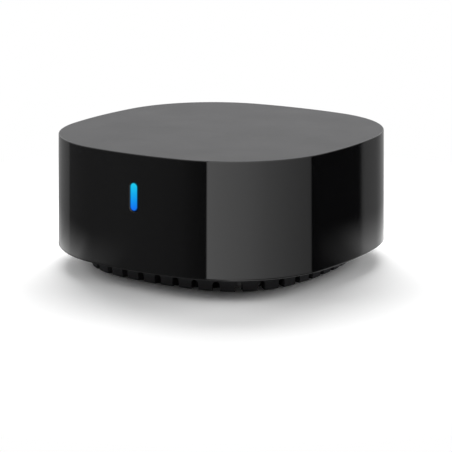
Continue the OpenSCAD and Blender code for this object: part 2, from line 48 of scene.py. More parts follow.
# Levels and sizes that the new pieces share, in millimetres
RIM_Z = 4.5
TOP_Z = 30.5
CEILING_Z = 28.5
WALL_T = 2.0
WALL_DRAFT = 0.5
WALL_H = TOP_Z - RIM_Z
WINDOW_Z = 21.1
WINDOW_W = 2.15
WINDOW_H = 6.45
SOCKET_Z = 14.2
BUTTON_X = -12.0
CORNER_AT = 16.0125
FOOT_LEVEL = 0.2
WALL_LEAN = WALL_DRAFT / WALL_H
POST_R = 3.2
PLUG_W, PLUG_H, PLUG_R = 12.6, 6.8, 1.6
BUTTON_W = 3.0
BUTTON_BORE = 3.16
RING_T = 2.4
RING_FLARE = 0.4
LUG_AT = 21.9
LUG_R = 2.6
NOTCH_COUNT = 38
NOTCH_START = 0.26
NOTCH_W = 1.6
NOTCH_H = 2.2
FOOT_R = 4.0
PLATE_R = 12.5
PLATE_Z = 3.7

# Edges that turn by more degrees than this stay sharp
SHARP_ANGLE = 38
# Points closer than this are one point, in metres
SAME_POINT = 1e-8
SAME_CAD_POINT = 2e-7


def wall_inset(z):
    """How far the drafted wall has leaned in at a height."""
    return WALL_DRAFT * (z - RIM_Z) / WALL_H


# Modelling helpers


def squircle(shape):
    """Place of each point round an outline of four long arcs and four corner arcs."""
    half, side_r, corner_r = shape
    back = half - side_r
    reach = side_r - corner_r
    centre = (back + math.sqrt(2 * reach * reach - back * back)) / 2
    lean = math.atan2(centre, centre - back)
    steps = LONG_ARC_STEPS + CORNER_STEPS

    def place(index, inset, level):
        quarter, step = divmod(index, steps)
        if step < LONG_ARC_STEPS:
            turn = lean * (2 * step / LONG_ARC_STEPS - 1)
            radius = side_r - inset
            spot = Vector((back + radius * math.cos(turn), radius * math.sin(turn), level))
        else:
            turn = lean + (math.pi / 2 - 2 * lean) * (step - LONG_ARC_STEPS) / CORNER_STEPS
            spot = Vector((centre, centre, level))
            spot += Vector((math.cos(turn), math.sin(turn), 0)) * (corner_r - inset)
        return Matrix.Rotation(quarter * math.pi / 2, 3, "Z") @ spot

    return place, 4 * steps


def circle(x, y, radius, count=64):
    """Place of each point round an upright circle."""

    def place(index, inset, level):
        turn = 2 * math.pi * index / count
        return Vector((x + (radius - inset) * math.cos(turn), y + (radius - inset) * math.sin(turn), level))

    return place, count


def rounded_outline(x, z, width, height, radius, count=64, lean=0.0):
    """Place of each point round a rounded rectangle that faces along Y; the level is its depth."""
    corners = [(1, 1), (-1, 1), (-1, -1), (1, -1)]

    def place(index, inset, level):
        side, step = divmod(index, count // 4)
        turn = math.pi / 2 * (side + step / (count // 4 - 1))
        across = corners[side][0] * (width / 2 - radius) + (radius - inset) * math.cos(turn)
        up = corners[side][1] * (height / 2 - radius) + (radius - inset) * math.sin(turn)
        return Vector((x + across, level + lean * up, z + up))

    return place, count


def carry_ring(bm, outline, steps, close_ends=True):
    """Carries a ring of edges through steps of (inset, level) and closes both its ends."""
    place, count = outline
    index_of = bm.verts.layers.int.get("index_of") or bm.verts.layers.int.new("index_of")
    inset_of = bm.verts.layers.float.get("inset_of") or bm.verts.layers.float.new("inset_of")
    ring = bmesh.ops.create_circle(bm, cap_ends=False, radius=1, segments=count)["verts"]
    for index, vert in enumerate(ring):
        vert[index_of] = index
        vert[inset_of] = steps[0][0]
        vert.co = place(index, *steps[0]) * MM
    edges = list({edge for vert in ring for edge in vert.link_edges})
    ends = [edges]
    for step in steps[1:]:
        made = bmesh.ops.extrude_edge_only(bm, edges=edges)["geom"]
        ring = {part for part in made if isinstance(part, bmesh.types.BMVert)}
        edges = [part for part in made if isinstance(part, bmesh.types.BMEdge) and set(part.verts) <= ring]
        for vert in ring:
            vert[inset_of] = step[0]
            vert.co = place(vert[index_of], *step) * MM
    ends.append(edges)
    caps = []
    if close_ends:
        for end in ends:
            caps += bmesh.ops.contextual_create(bm, geom=end)["faces"]
    return caps


def close_loop(bm, outline, steps):
    """Carries a ring round a closed section, such as a hollow wall, and joins its end to its start."""
    carry_ring(bm, outline, steps + steps[:1], close_ends=False)
    bmesh.ops.remove_doubles(bm, verts=bm.verts, dist=SAME_POINT)


def rounded_edge(inset, level, radius, segments=4):
    """Steps round a quarter circle, from an upper face out and down to the wall."""
    steps = []
    for step in range(segments + 1):
        turn = math.pi / 2 * step / segments
        along = radius * (1 - math.sin(turn))
        over = radius * (1 - math.cos(turn))
        steps.append((inset + along, level - over))
    return steps


def block_in(bm, size, middle):
    """Adds a block of a size round its middle, in millimetres."""
    block = bmesh.ops.create_cube(bm, size=1)["verts"]
    bmesh.ops.scale(bm, vec=tuple(part * MM for part in size), verts=block)
    bmesh.ops.translate(bm, vec=tuple(part * MM for part in middle), verts=block)


def added_since(bm, before):
    """The vertices that were added after a set of them was taken."""
    return [vert for vert in bm.verts if vert not in before]


def spin(bm, verts, turn):
    """Turns vertices round the upright axis."""
    bmesh.ops.rotate(bm, verts=verts, cent=(0, 0, 0), matrix=Matrix.Rotation(turn, 3, "Z"))


def mesh_from(bm, name):
    """Turns a finished bmesh into a mesh."""
    mesh = bpy.data.meshes.new(name)
    bm.to_mesh(mesh)
    bm.free()
    return mesh


def new_object(name, data):
    """Puts a mesh, a camera or a lamp into the scene."""
    made = bpy.data.objects.new(name, data)
    bpy.context.scene.collection.objects.link(made)
    return made


def smooth_faces(mesh):
    """Shades a mesh smoothly between its sharp edges."""
    for face in mesh.polygons:
        face.use_smooth = True
    mesh.set_sharp_from_angle(angle=math.radians(SHARP_ANGLE))


def new_piece(name, bm, materials, stands_for=(), body="housing", outward=True):
    """Turns a finished bmesh into a piece that rides on a CAD body."""
    bmesh.ops.remove_doubles(bm, verts=bm.verts, dist=SAME_POINT)
    if outward:
        bmesh.ops.recalc_face_normals(bm, faces=bm.faces)
    mesh = mesh_from(bm, name)
    smooth_faces(mesh)
    for material in materials:
        mesh.materials.append(material)
    piece = new_object(name, mesh)
    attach(piece, body)
    if stands_for:
        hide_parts(*stands_for)
    return piece


def even_shading(piece):
    """Keeps large flat faces evenly shaded beside small rounded edges."""
    step = piece.modifiers.new("even shading", "WEIGHTED_NORMAL")
    step.keep_sharp = True
    step.weight = 100
    return piece


def cut_out(piece, bm):
    """Cuts closed shapes out of a piece and keeps the result as the piece's own mesh."""
    bmesh.ops.recalc_face_normals(bm, faces=bm.faces)
    mesh = mesh_from(bm, "cutter")
    cutter = new_object("cutter", mesh)
    step = piece.modifiers.new("cut", "BOOLEAN")
    step.operation = "DIFFERENCE"
    step.solver = "EXACT"
    step.object = cutter
    graph = bpy.context.evaluated_depsgraph_get()
    made = bpy.data.meshes.new_from_object(piece.evaluated_get(graph))
    piece.modifiers.clear()
    old = piece.data
    made.name = old.name
    piece.data = made
    bpy.data.meshes.remove(old)
    bpy.data.objects.remove(cutter)
    bpy.data.meshes.remove(mesh)
    smooth_faces(made)


def cut_opening(piece, outline, steps):
    """Cuts one opening through a piece, whose outline is carried through the steps."""
    bm = bmesh.new()
    carry_ring(bm, outline, steps)
    cut_out(piece, bm)


def rounded_edges(bm, width, limit=30, segments=2):
    """Rounds every edge that turns more sharply than the limit."""
    edges = [e for e in bm.edges if len(e.link_faces) == 2 and e.calc_face_angle(0) > math.radians(limit)]
    bmesh.ops.bevel(
        bm,
        geom=edges,
        offset=width * MM,
        offset_type="OFFSET",
        segments=segments,
        profile=0.5,
        affect="EDGES",
        clamp_overlap=True,
        material=-1,
    )


def softened_copy(name, node, width, material):
    """A CAD node's own shape with its doubles merged, its flat faces joined and its edges rounded."""
    bm = bmesh.new()
    bm.from_mesh(nodes[node].data)
    bmesh.ops.remove_doubles(bm, verts=bm.verts, dist=SAME_CAD_POINT)
    flat = math.radians(0.4)
    bmesh.ops.dissolve_limit(bm, angle_limit=flat, verts=bm.verts, edges=bm.edges, delimit={"NORMAL"})
    rounded_edges(bm, width)
    even_shading(new_piece(name, bm, [material], (node,), outward=False))


# Materials


def node_in(tree, kind, **inputs):
    """Adds a node and sets its inputs, or links those that are sockets."""
    made = tree.nodes.new(kind)
    for key, value in inputs.items():
        name = key.replace("_", " ")
        if hasattr(made, key) and name not in made.inputs:
            setattr(made, key, value)
        elif isinstance(value, bpy.types.NodeSocket):
            tree.links.new(value, made.inputs[name])
        else:
            made.inputs[name].default_value = value
    return made


def math_in(tree, operation, first, second=0.0, third=0.0):
    """Adds one sum, whose terms are numbers or sockets."""
    made = tree.nodes.new("ShaderNodeMath")
    made.operation = operation
    for slot, value in enumerate((first, second, third)):
        if isinstance(value, bpy.types.NodeSocket):
            tree.links.new(value, made.inputs[slot])
        else:
            made.inputs[slot].default_value = value
    return made.outputs["Value"]


def spread(tree, value, start, end, low=0.0, high=1.0):
    """Carries a value from one range to another, and holds it at both ends."""
    made = node_in(tree, "ShaderNodeMapRange", Value=value, From_Min=start, From_Max=end)
    made.inputs["To Min"].default_value = low
    made.inputs["To Max"].default_value = high
    return made.outputs["Result"]


def between(tree, mask, low, high):
    """Carries a mask from 0 to 1 over to the range between two levels."""
    return spread(tree, mask, 0.0, 1.0, low, high)


def tinted(tree, mask, dark, pale):
    """Mixes two colours by a mask."""
    made = tree.nodes.new("ShaderNodeMix")
    made.data_type = "RGBA"
    tree.links.new(mask, made.inputs["Factor"])
    made.inputs[6].default_value = (*dark, 1)
    made.inputs[7].default_value = (*pale, 1)
    return made.outputs[2]


def scaled(tree, colour, share):
    """Makes a colour darker or brighter by a factor."""
    made = node_in(tree, "ShaderNodeVectorMath", operation="SCALE", Scale=share)
    tree.links.new(colour, made.inputs[0])
    return made.outputs["Vector"]


def ramp_in(tree, share, stops):
    """A colour that runs through stops, each a place from 0 to 1 and a colour."""
    ramp = tree.nodes.new("ShaderNodeValToRGB")
    tree.links.new(share, ramp.inputs["Fac"])
    while len(ramp.color_ramp.elements) < len(stops):
        ramp.color_ramp.elements.new(0.5)
    for element, (spot, colour) in zip(ramp.color_ramp.elements, stops):
        element.position = spot
        element.color = (*colour, 1)
    return ramp.outputs["Color"]


def object_place(tree):
    """A point's place in the frame that all pieces share."""
    return tree.nodes.new("ShaderNodeTexCoord").outputs["Object"]


def split_up(tree, vector):
    """The X, Y and Z of a vector."""
    made = node_in(tree, "ShaderNodeSeparateXYZ", Vector=vector)
    return made.outputs["X"], made.outputs["Y"], made.outputs["Z"]


def new_group(name, inputs, outputs):
    """A node group with named number inputs, one vector input named Place, and named outputs."""
    group = bpy.data.node_groups.new(name, "ShaderNodeTree")
    group.interface.new_socket("Place", in_out="INPUT", socket_type="NodeSocketVector")
    for key, value in inputs.items():
        socket = group.interface.new_socket(key, in_out="INPUT", socket_type="NodeSocketFloat")
        socket.default_value = value
    for key in outputs:
        group.interface.new_socket(key, in_out="OUTPUT", socket_type="NodeSocketFloat")
    start = group.nodes.new("NodeGroupInput")
    end = group.nodes.new("NodeGroupOutput")
    return group, start.outputs, end.inputs


def use_group(tree, group, place, **inputs):
    """Adds a node group and gives back its outputs."""
    made = tree.nodes.new("ShaderNodeGroup")
    made.node_tree = group
    tree.links.new(place, made.inputs["Place"])
    for key, value in inputs.items():
        made.inputs[key.replace("_", " ")].default_value = value
    return made.outputs


def moulded_texture():
    """The fine spark-eroded texture of a moulded surface, with its slow change of gloss."""
    group, given, result = new_group("Moulded texture", {"Grain Per Metre": 3000.0}, ["Height", "Tone"])
    fine = node_in(group, "ShaderNodeTexNoise", Vector=given["Place"], Scale=given["Grain Per Metre"])
    fine.inputs["Detail"].default_value = 3
    fine.inputs["Roughness"].default_value = 0.62
    pits = node_in(group, "ShaderNodeTexVoronoi", Vector=given["Place"], Scale=given["Grain Per Metre"])
    slow = node_in(group, "ShaderNodeTexNoise", Vector=given["Place"], Scale=90.0, Detail=4.0)
    depth = math_in(group, "MULTIPLY_ADD", pits.outputs["Distance"], 0.35, fine.outputs["Fac"])
    group.links.new(depth, result["Height"])
    speckle = math_in(group, "MULTIPLY_ADD", fine.outputs["Fac"], 0.5, slow.outputs["Fac"])
    group.links.new(math_in(group, "SUBTRACT", speckle, 0.25), result["Tone"])
    return group


def polish_marks():
    """Faint smudges and hairlines on a polished surface."""
    group, given, result = new_group("Polish marks", {"Line Per Metre": 260.0}, ["Smudge", "Hairline"])
    place = given["Place"]
    smudge = node_in(group, "ShaderNodeTexNoise", Vector=place, Scale=55.0, Detail=5.0, Distortion=0.6)
    turned = node_in(group, "ShaderNodeMapping", Vector=place)
    turned.inputs["Rotation"].default_value = (0.3, 0.5, 0.9)
    turned.inputs["Scale"].default_value = (1, 0.06, 0.35)
    lines = node_in(group, "ShaderNodeTexNoise", Vector=turned.outputs["Vector"])
    group.links.new(given["Line Per Metre"], lines.inputs["Scale"])
    lines.inputs["Detail"].default_value = 6
    thin = math_in(group, "GREATER_THAN", lines.outputs["Fac"], 0.66)
    group.links.new(smudge.outputs["Fac"], result["Smudge"])
    group.links.new(thin, result["Hairline"])
    return group


def metal_grain():
    """Drawn or plated metal: short streaks along one direction over soft blotches."""
    group, given, result = new_group("Metal grain", {"Streak Per Metre": 1800.0}, ["Height", "Tone"])
    drawn = node_in(group, "ShaderNodeMapping", Vector=given["Place"], Scale=(1, 0.05, 1))
    streak = node_in(group, "ShaderNodeTexNoise", Vector=drawn.outputs["Vector"])
    group.links.new(given["Streak Per Metre"], streak.inputs["Scale"])
    blotch = node_in(group, "ShaderNodeTexNoise", Vector=given["Place"], Scale=240.0, Detail=3.0)
    group.links.new(streak.outputs["Fac"], result["Height"])
    blend = math_in(group, "MULTIPLY_ADD", streak.outputs["Fac"], 0.4, blotch.outputs["Fac"])
    group.links.new(math_in(group, "SUBTRACT", blend, 0.2), result["Tone"])
    return group


def board_copper():
    """Copper tracks, filled areas and tinned pads under a board's solder resist."""
    group, given, result = new_group("Board copper", {"Track Per Metre": 420.0}, ["Track", "Pad"])
    cells = node_in(group, "ShaderNodeTexVoronoi", Vector=given["Place"], Scale=given["Track Per Metre"])
    cells.distance = "CHEBYCHEV"
    cells.feature = "DISTANCE_TO_EDGE"
    split = node_in(group, "ShaderNodeTexVoronoi", Vector=given["Place"], Scale=given["Track Per Metre"])
    split.distance = "MANHATTAN"
    waves = node_in(group, "ShaderNodeTexWave", Vector=given["Place"], Scale=given["Track Per Metre"])
    waves.bands_direction = "DIAGONAL"
    lines = math_in(group, "GREATER_THAN", waves.outputs["Fac"], 0.55)
    areas = math_in(group, "GREATER_THAN", split.outputs["Distance"], 0.62)
    group.links.new(math_in(group, "MAXIMUM", lines, areas), result["Track"])
    dots = math_in(group, "LESS_THAN", split.outputs["Distance"], 0.14)
    group.links.new(dots, result["Pad"])
    return group


TEXTURE = moulded_texture()
MARKS = polish_marks()
GRAIN = metal_grain()
COPPER = board_copper()


def empty_material(name):
    """A material with an output and nothing else."""
    material = bpy.data.materials.new(name)
    material.use_nodes = True
    tree = material.node_tree
    tree.nodes.clear()
    output = tree.nodes.new("ShaderNodeOutputMaterial")
    return material, tree, output.inputs["Surface"]


def new_material(name):
    """A material with one Principled shader."""
    material, tree, surface = empty_material(name)
    shader = tree.nodes.new("ShaderNodeBsdfPrincipled")
    tree.links.new(shader.outputs["BSDF"], surface)
    return material, tree, shader


def bump_in(tree, shader, height, depth, strength=1.0):
    """Feeds a height through a Bump node into the shader's normal; depth is in millimetres."""
    bump = node_in(tree, "ShaderNodeBump", Strength=strength, Distance=depth * MM, Height=height)
    tree.links.new(bump.outputs["Normal"], shader.inputs["Normal"])


def moulded_plastic(name, dark, pale, rough, grain, depth, spread=0.06, specular=0.5):
    """Textured plastic or rubber: two close tones, a textured normal and uneven gloss."""
    material, tree, shader = new_material(name)
    found = use_group(tree, TEXTURE, object_place(tree), Grain_Per_Metre=grain)
    tree.links.new(tinted(tree, found["Tone"], dark, pale), shader.inputs["Base Color"])
    tree.links.new(between(tree, found["Tone"], rough - spread, rough + spread), shader.inputs["Roughness"])
    shader.inputs["Specular IOR Level"].default_value = specular
    bump_in(tree, shader, found["Height"], depth)
    return material


def plated_metal(name, dark, pale, rough, streaks, depth):
    """Bare or plated metal with drawn streaks and uneven gloss."""
    material, tree, shader = new_material(name)
    found = use_group(tree, GRAIN, object_place(tree), Streak_Per_Metre=streaks)
    tree.links.new(tinted(tree, found["Tone"], dark, pale), shader.inputs["Base Color"])
    tree.links.new(between(tree, found["Tone"], rough - 0.06, rough + 0.08), shader.inputs["Roughness"])
    shader.inputs["Metallic"].default_value = 1
    bump_in(tree, shader, found["Height"], depth)
    return material


def gloss_black():
    """The polished side wall: deep black, near mirror gloss, with faint smudges and hairlines."""
    material, tree, shader = new_material("Gloss black shell")
    place = object_place(tree)
    found = use_group(tree, MARKS, place, Line_Per_Metre=260.0)
    tree.links.new(
        tinted(tree, found["Smudge"], (0.0018, 0.0018, 0.002), (0.0032, 0.0032, 0.0036)),
        shader.inputs["Base Color"],
    )
    gloss = between(tree, found["Smudge"], 0.025, 0.07)
    lined = math_in(tree, "MULTIPLY_ADD", found["Hairline"], 0.02, gloss)
    tree.links.new(lined, shader.inputs["Roughness"])
    ripple = node_in(tree, "ShaderNodeTexNoise", Vector=place, Scale=160.0, Detail=1.0)
    bump_in(tree, shader, ripple.outputs["Fac"], 0.002)
    return material


def lit_lens():
    """The window: an inner pill is lit from behind, cyan at its top and blue at its foot."""
    material, tree, shader = new_material("Lit window lens")
    place = object_place(tree)
    x, _, z = split_up(tree, place)
    height = spread(tree, z, (WINDOW_Z - WINDOW_H / 2) * MM, (WINDOW_Z + WINDOW_H / 2) * MM)
    stops = [(0.0, (0.003, 0.117, 0.871)), (0.5, (0.003, 0.347, 0.855)), (1.0, (0.01, 0.617, 0.847))]
    haze = node_in(tree, "ShaderNodeTexNoise", Vector=place, Scale=900.0, Detail=2.0).outputs["Fac"]
    hazy = scaled(tree, ramp_in(tree, height, stops), between(tree, haze, 0.94, 1.06))
    # Distance from the pill's middle line
    spine = (WINDOW_H - WINDOW_W) / 2 * MM
    rise = math_in(tree, "ABSOLUTE", math_in(tree, "SUBTRACT", z, WINDOW_Z * MM))
    past = math_in(tree, "MAXIMUM", math_in(tree, "SUBTRACT", rise, spine), 0.0)
    across = math_in(tree, "POWER", math_in(tree, "ABSOLUTE", x), 2.0)
    reach = math_in(tree, "SQRT", math_in(tree, "MULTIPLY_ADD", past, past, across))
    glow = spread(tree, reach, 0.98 * MM, 0.72 * MM, low=0.03)
    tree.links.new(scaled(tree, hazy, glow), shader.inputs["Emission Color"])
    shader.inputs["Emission Strength"].default_value = 1
    shader.inputs["Base Color"].default_value = (0.002, 0.012, 0.02, 1)
    shader.inputs["Specular IOR Level"].default_value = 0.15
    tree.links.new(between(tree, haze, 0.1, 0.22), shader.inputs["Roughness"])
    return material


def printed_board(name, resist, copper):
    """A circuit board: tracks that show through the resist, and tinned pads."""
    material, tree, shader = new_material(name)
    place = object_place(tree)
    found = use_group(tree, COPPER, place, Track_Per_Metre=420.0)
    under = tinted(tree, found["Track"], resist, copper)
    mix = tree.nodes.new("ShaderNodeMix")
    mix.data_type = "RGBA"
    tree.links.new(found["Pad"], mix.inputs["Factor"])
    tree.links.new(under, mix.inputs[6])
    mix.inputs[7].default_value = (0.62, 0.6, 0.55, 1)
    tree.links.new(mix.outputs[2], shader.inputs["Base Color"])
    tree.links.new(math_in(tree, "MULTIPLY", found["Pad"], 0.9), shader.inputs["Metallic"])
    weave = node_in(tree, "ShaderNodeTexNoise", Vector=place, Scale=2500.0, Detail=2.0)
    tree.links.new(between(tree, weave.outputs["Fac"], 0.22, 0.38), shader.inputs["Roughness"])
    bump_in(tree, shader, found["Track"], 0.03)
    return material


def emitter_resin(name, colour, rough):
    """Cast epoxy, tinted so that it passes the infrared light alone."""
    material, tree, shader = new_material(name)
    flow = node_in(tree, "ShaderNodeTexNoise", Vector=object_place(tree), Scale=400.0, Detail=3.0)
    pale = tuple(min(1.0, part * 1.5) for part in colour)
    tree.links.new(tinted(tree, flow.outputs["Fac"], colour, pale), shader.inputs["Base Color"])
    tree.links.new(between(tree, flow.outputs["Fac"], rough, rough + 0.08), shader.inputs["Roughness"])
    shader.inputs["Transmission Weight"].default_value = 0.35
    shader.inputs["IOR"].default_value = 1.52
    bump_in(tree, shader, flow.outputs["Fac"], 0.01)
    return material


shell_gloss = gloss_black()
shell_matte = moulded_plastic("Matte top", (0.014, 0.014, 0.0155), (0.022, 0.022, 0.024), 0.42, 4200.0, 0.03)
shell_inside = moulded_plastic("Shell inside", (0.012, 0.012, 0.013), (0.02, 0.02, 0.022), 0.34, 1800.0, 0.02)
case_plastic = moulded_plastic("Case plastic", (0.02, 0.02, 0.022), (0.034, 0.034, 0.037), 0.5, 2600.0, 0.05)
ring_plastic = moulded_plastic(
    "Ring plastic", (0.05, 0.05, 0.052), (0.074, 0.074, 0.077), 0.6, 3200.0, 0.04, specular=0.0
)
foot_rubber = moulded_plastic("Foot rubber", (0.012, 0.012, 0.012), (0.022, 0.022, 0.021), 0.78, 1500.0, 0.08)
plate_film = moulded_plastic("Plate film", (0.05, 0.05, 0.053), (0.062, 0.062, 0.065), 0.3, 6000.0, 0.008)
window_lens = lit_lens()
white_plastic = moulded_plastic("White plastic", (0.7, 0.7, 0.68), (0.8, 0.8, 0.78), 0.45, 1600.0, 0.02)
green_board = printed_board("Green board", (0.006, 0.07, 0.026), (0.02, 0.14, 0.05))
blue_board = printed_board("Blue module board", (0.006, 0.03, 0.1), (0.02, 0.07, 0.19))
tin_plate = plated_metal("Tin plate", (0.5, 0.5, 0.49), (0.68, 0.68, 0.66), 0.3, 1500.0, 0.01)
gold_plate = plated_metal("Gold plate", (0.72, 0.48, 0.16), (0.9, 0.62, 0.24), 0.22, 2400.0, 0.004)
can_aluminium = plated_metal("Can aluminium", (0.6, 0.61, 0.63), (0.78, 0.79, 0.8), 0.32, 900.0, 0.01)
screw_steel = plated_metal("Screw steel", (0.07, 0.07, 0.075), (0.14, 0.14, 0.15), 0.34, 2200.0, 0.02)
infrared_resin = emitter_resin("Infrared resin", (0.02, 0.024, 0.05), 0.08)
diode_resin = emitter_resin("Diode resin", (0.75, 0.72, 0.5), 0.18)
chip_resin = moulded_plastic("Chip resin", (0.018, 0.018, 0.019), (0.032, 0.032, 0.033), 0.58, 5200.0, 0.02)
ceramic = moulded_plastic("Ceramic", (0.34, 0.23, 0.14), (0.46, 0.33, 0.21), 0.4, 3800.0, 0.01)
ferrite = moulded_plastic("Ferrite", (0.03, 0.03, 0.032), (0.06, 0.06, 0.062), 0.62, 3000.0, 0.05)


# Camera and studio


def by_direction(tree, x, y, stops):
    """A level for each direction round the upright axis, in degrees from +X towards +Y."""
    share = spread(tree, math_in(tree, "ARCTAN2", y, x), -math.pi, math.pi)
    return ramp_in(tree, share, [((direction + 180) / 360, (level,) * 3) for direction, level in stops])


def distance_out(tree, x, y):
    """Distance from the upright axis."""
    squared = math_in(tree, "MULTIPLY", x, x)
    return math_in(tree, "SQRT", math_in(tree, "MULTIPLY_ADD", y, y, squared))


def mixed(tree, share, first, second):
    """Goes from the first shader to the second as the share goes from 0 to 1."""
    made = node_in(tree, "ShaderNodeMixShader", Fac=share)
    tree.links.new(first, made.inputs[1])
    tree.links.new(second, made.inputs[2])
    return made.outputs["Shader"]


def add_camera():
    """The photograph's viewpoint, a long lens a little above the front right side."""
    turn = math.radians(33.29)
    rise = math.radians(13.34)
    distance = 462.6
    back = Vector((math.sin(turn) * math.cos(rise), -math.cos(turn) * math.cos(rise), math.sin(rise)))
    right = Vector((math.cos(turn), math.sin(turn), 0))
    aim = right * 0.90 + Vector((0, 0, 7.78))
    data = bpy.data.cameras.new("Camera")
    data.lens = 159
    data.sensor_width = 36
    data.clip_start = 0.01
    data.clip_end = 20
    camera = new_object("Camera", data)
    camera.location = (aim + back * distance) * MM
    camera.rotation_mode = "QUATERNION"
    camera.rotation_quaternion = (-back).to_track_quat("-Z", "Y")
    bpy.context.scene.camera = camera


def stage_card(name, half_width, level=0.0):
    """A flat square at a level above the floor, in metres, with a material that is still empty."""
    bm = bmesh.new()
    bmesh.ops.create_grid(bm, x_segments=1, y_segments=1, size=half_width)
    bmesh.ops.translate(bm, vec=(0, 0, level), verts=bm.verts)
    mesh = mesh_from(bm, name)
    material, tree, surface = empty_material(name)
    mesh.materials.append(material)
    return new_object(name, mesh), tree, surface


def add_floor():
    """A pale floor, lifted to white for the camera alone so that it keeps the shadow; it has painted shade
    inside the ring and a painted fade to white away from the object.
    """
    floor, tree, surface = stage_card("Floor", 4)
    seen = tree.nodes.new("ShaderNodeLightPath").outputs["Is Camera Ray"]
    x, y, _ = split_up(tree, object_place(tree))
    reach = distance_out(tree, x, y)
    colour = tinted(tree, seen, (0.8, 0.8, 0.8), (1.1, 1.1, 1.1))
    # Painted shade: the floor is darkened inside the ring, so that its notches look into the dark
    painted_shade_in_ring = spread(tree, reach, 0.0255, 0.0265, low=0.06)
    paper = tree.nodes.new("ShaderNodeBsdfDiffuse")
    tree.links.new(scaled(tree, colour, painted_shade_in_ring), paper.inputs["Color"])
    # Painted light: away from the object the camera sees the floor fade to plain white, which fades the
    # shadow out with distance
    painted_shadow_fade = math_in(tree, "MULTIPLY", spread(tree, reach, 0.045, 0.13), seen)
    backdrop = node_in(tree, "ShaderNodeEmission", Strength=1.0)
    tree.links.new(mixed(tree, painted_shadow_fade, paper.outputs["BSDF"], backdrop.outputs["Emission"]), surface)
    floor.visible_glossy = False


def add_surroundings():
    """A white surround; polished surfaces see it as panels that stand round the object."""
    world = bpy.data.worlds.new("Studio")
    bpy.context.scene.world = world
    world.use_nodes = True
    tree = world.node_tree
    tree.nodes.clear()
    output = tree.nodes.new("ShaderNodeOutputWorld")
    x, y, z = split_up(tree, tree.nodes.new("ShaderNodeTexCoord").outputs["Generated"])
    # Half the brightness of the panels by direction
    panels = [
        (-180, 0.062), (-141, 0.086), (-131, 0.094), (-117, 0.084), (-95, 0.046), (-82.9, 0.032),
        (-82.1, 0.9), (-43, 0.68), (-23, 0.52), (0.7, 0.38), (20, 0.28), (26.6, 0.24), (27.6, 0.006),
        (64.3, 0.006), (66.6, 0.14), (75, 0.145), (85, 0.167), (97, 0.21), (112, 0.225), (123, 0.175),
        (177.2, 0.165), (179.9, 0.062),
    ]
    # Half the brightness of the floor by direction, as the chamfer of the lower edge sees it
    chamfer_floor = [
        (-180, 0.05), (70, 0.05), (88, 0.75), (112, 0.75), (134, 0.7), (152, 0.28), (162, 0.05),
        (180, 0.05),
    ]
    mirrored = math_in(tree, "MULTIPLY", by_direction(tree, x, y, panels), 2.0)
    mirrored = math_in(tree, "ADD", mirrored, spread(tree, z, 0.0, 0.25, 0.0, 0.55))
    mirrored = math_in(tree, "MULTIPLY", mirrored, spread(tree, z, -0.4, -0.7, 1.0, 0.3))
    near_floor = math_in(tree, "MULTIPLY", by_direction(tree, x, y, chamfer_floor), 2.0)
    near_floor = math_in(tree, "MULTIPLY", spread(tree, z, -0.45, -0.55), near_floor)
    near_floor = math_in(tree, "MULTIPLY", near_floor, spread(tree, z, -0.72, -0.95, low=0.1))
    mirrored = math_in(tree, "ADD", mirrored, near_floor)
    lights = []
    for strength in (spread(tree, z, -0.1, 1.0, 0.16, 0.32), mirrored, 1.0):
        light = node_in(tree, "ShaderNodeBackground", Color=(1, 1, 1, 1), Strength=strength)
        lights.append(light.outputs["Background"])
    soft, mirror, white = lights
    paths = tree.nodes.new("ShaderNodeLightPath")
    lit = mixed(tree, paths.outputs["Is Glossy Ray"], soft, mirror)
    shown = mixed(tree, paths.outputs["Is Camera Ray"], lit, white)
    tree.links.new(shown, output.inputs["Surface"])


def add_floor_glow():
    """The pale floor beside the object, seen in the foot of the polished wall and nowhere else."""
    card, tree, surface = stage_card("Floor glow", 0.12, 0.00002)
    x, y, _ = split_up(tree, object_place(tree))
    sides = [
        (-180, 0.25), (-165, 0.3), (-155, 0.6), (-136, 1.0), (-129, 0.5), (-110, 0.0), (0, 0.0),
        (10, 0.03), (25, 0.18), (36, 0.55), (50, 0.6), (70, 0.4), (90, 0.35), (180, 0.3),
    ]
    reach = distance_out(tree, x, y)
    fade = spread(tree, reach, 0.092, 0.05)
    strength = math_in(tree, "MULTIPLY", math_in(tree, "POWER", fade, 1.8), 1.5)
    strength = math_in(tree, "MULTIPLY", strength, spread(tree, reach, 0.044, 0.048))
    strength = math_in(tree, "MULTIPLY", strength, by_direction(tree, x, y, sides))
    glow = node_in(tree, "ShaderNodeEmission", Strength=strength)
    through = tree.nodes.new("ShaderNodeBsdfTransparent")
    both = tree.nodes.new("ShaderNodeAddShader")
    tree.links.new(glow.outputs["Emission"], both.inputs[0])
    tree.links.new(through.outputs["BSDF"], both.inputs[1])
    tree.links.new(both.outputs["Shader"], surface)
    card.visible_camera = False
    card.visible_diffuse = False
    card.visible_transmission = False
    card.visible_shadow = False


def add_lamp(name, place, width, height, watts):
    """A softbox that lights the object and stays out of its reflections; it faces the origin."""
    data = bpy.data.lights.new(name, "AREA")
    data.shape = "RECTANGLE"
    data.size = width
    data.size_y = height
    data.energy = watts
    lamp = new_object(name, data)
    lamp.location = place
    lamp.visible_glossy = False
    lamp.rotation_mode = "QUATERNION"
    lamp.rotation_quaternion = (-Vector(place)).to_track_quat("-Z", "Y")


add_camera()
add_floor()
add_surroundings()
add_floor_glow()
add_lamp("Rear softbox", (-0.25, 0.38, 0.44), 0.6, 0.4, 5.2)
add_lamp("Left softbox", (-0.5, -0.2, 0.3), 0.5, 0.3, 1.5)
add_lamp("Right softbox", (0.44, 0.34, 0.3), 0.5, 0.3, 1.7)
bpy.context.scene.view_settings.view_transform = "Standard"


# Pieces of the object


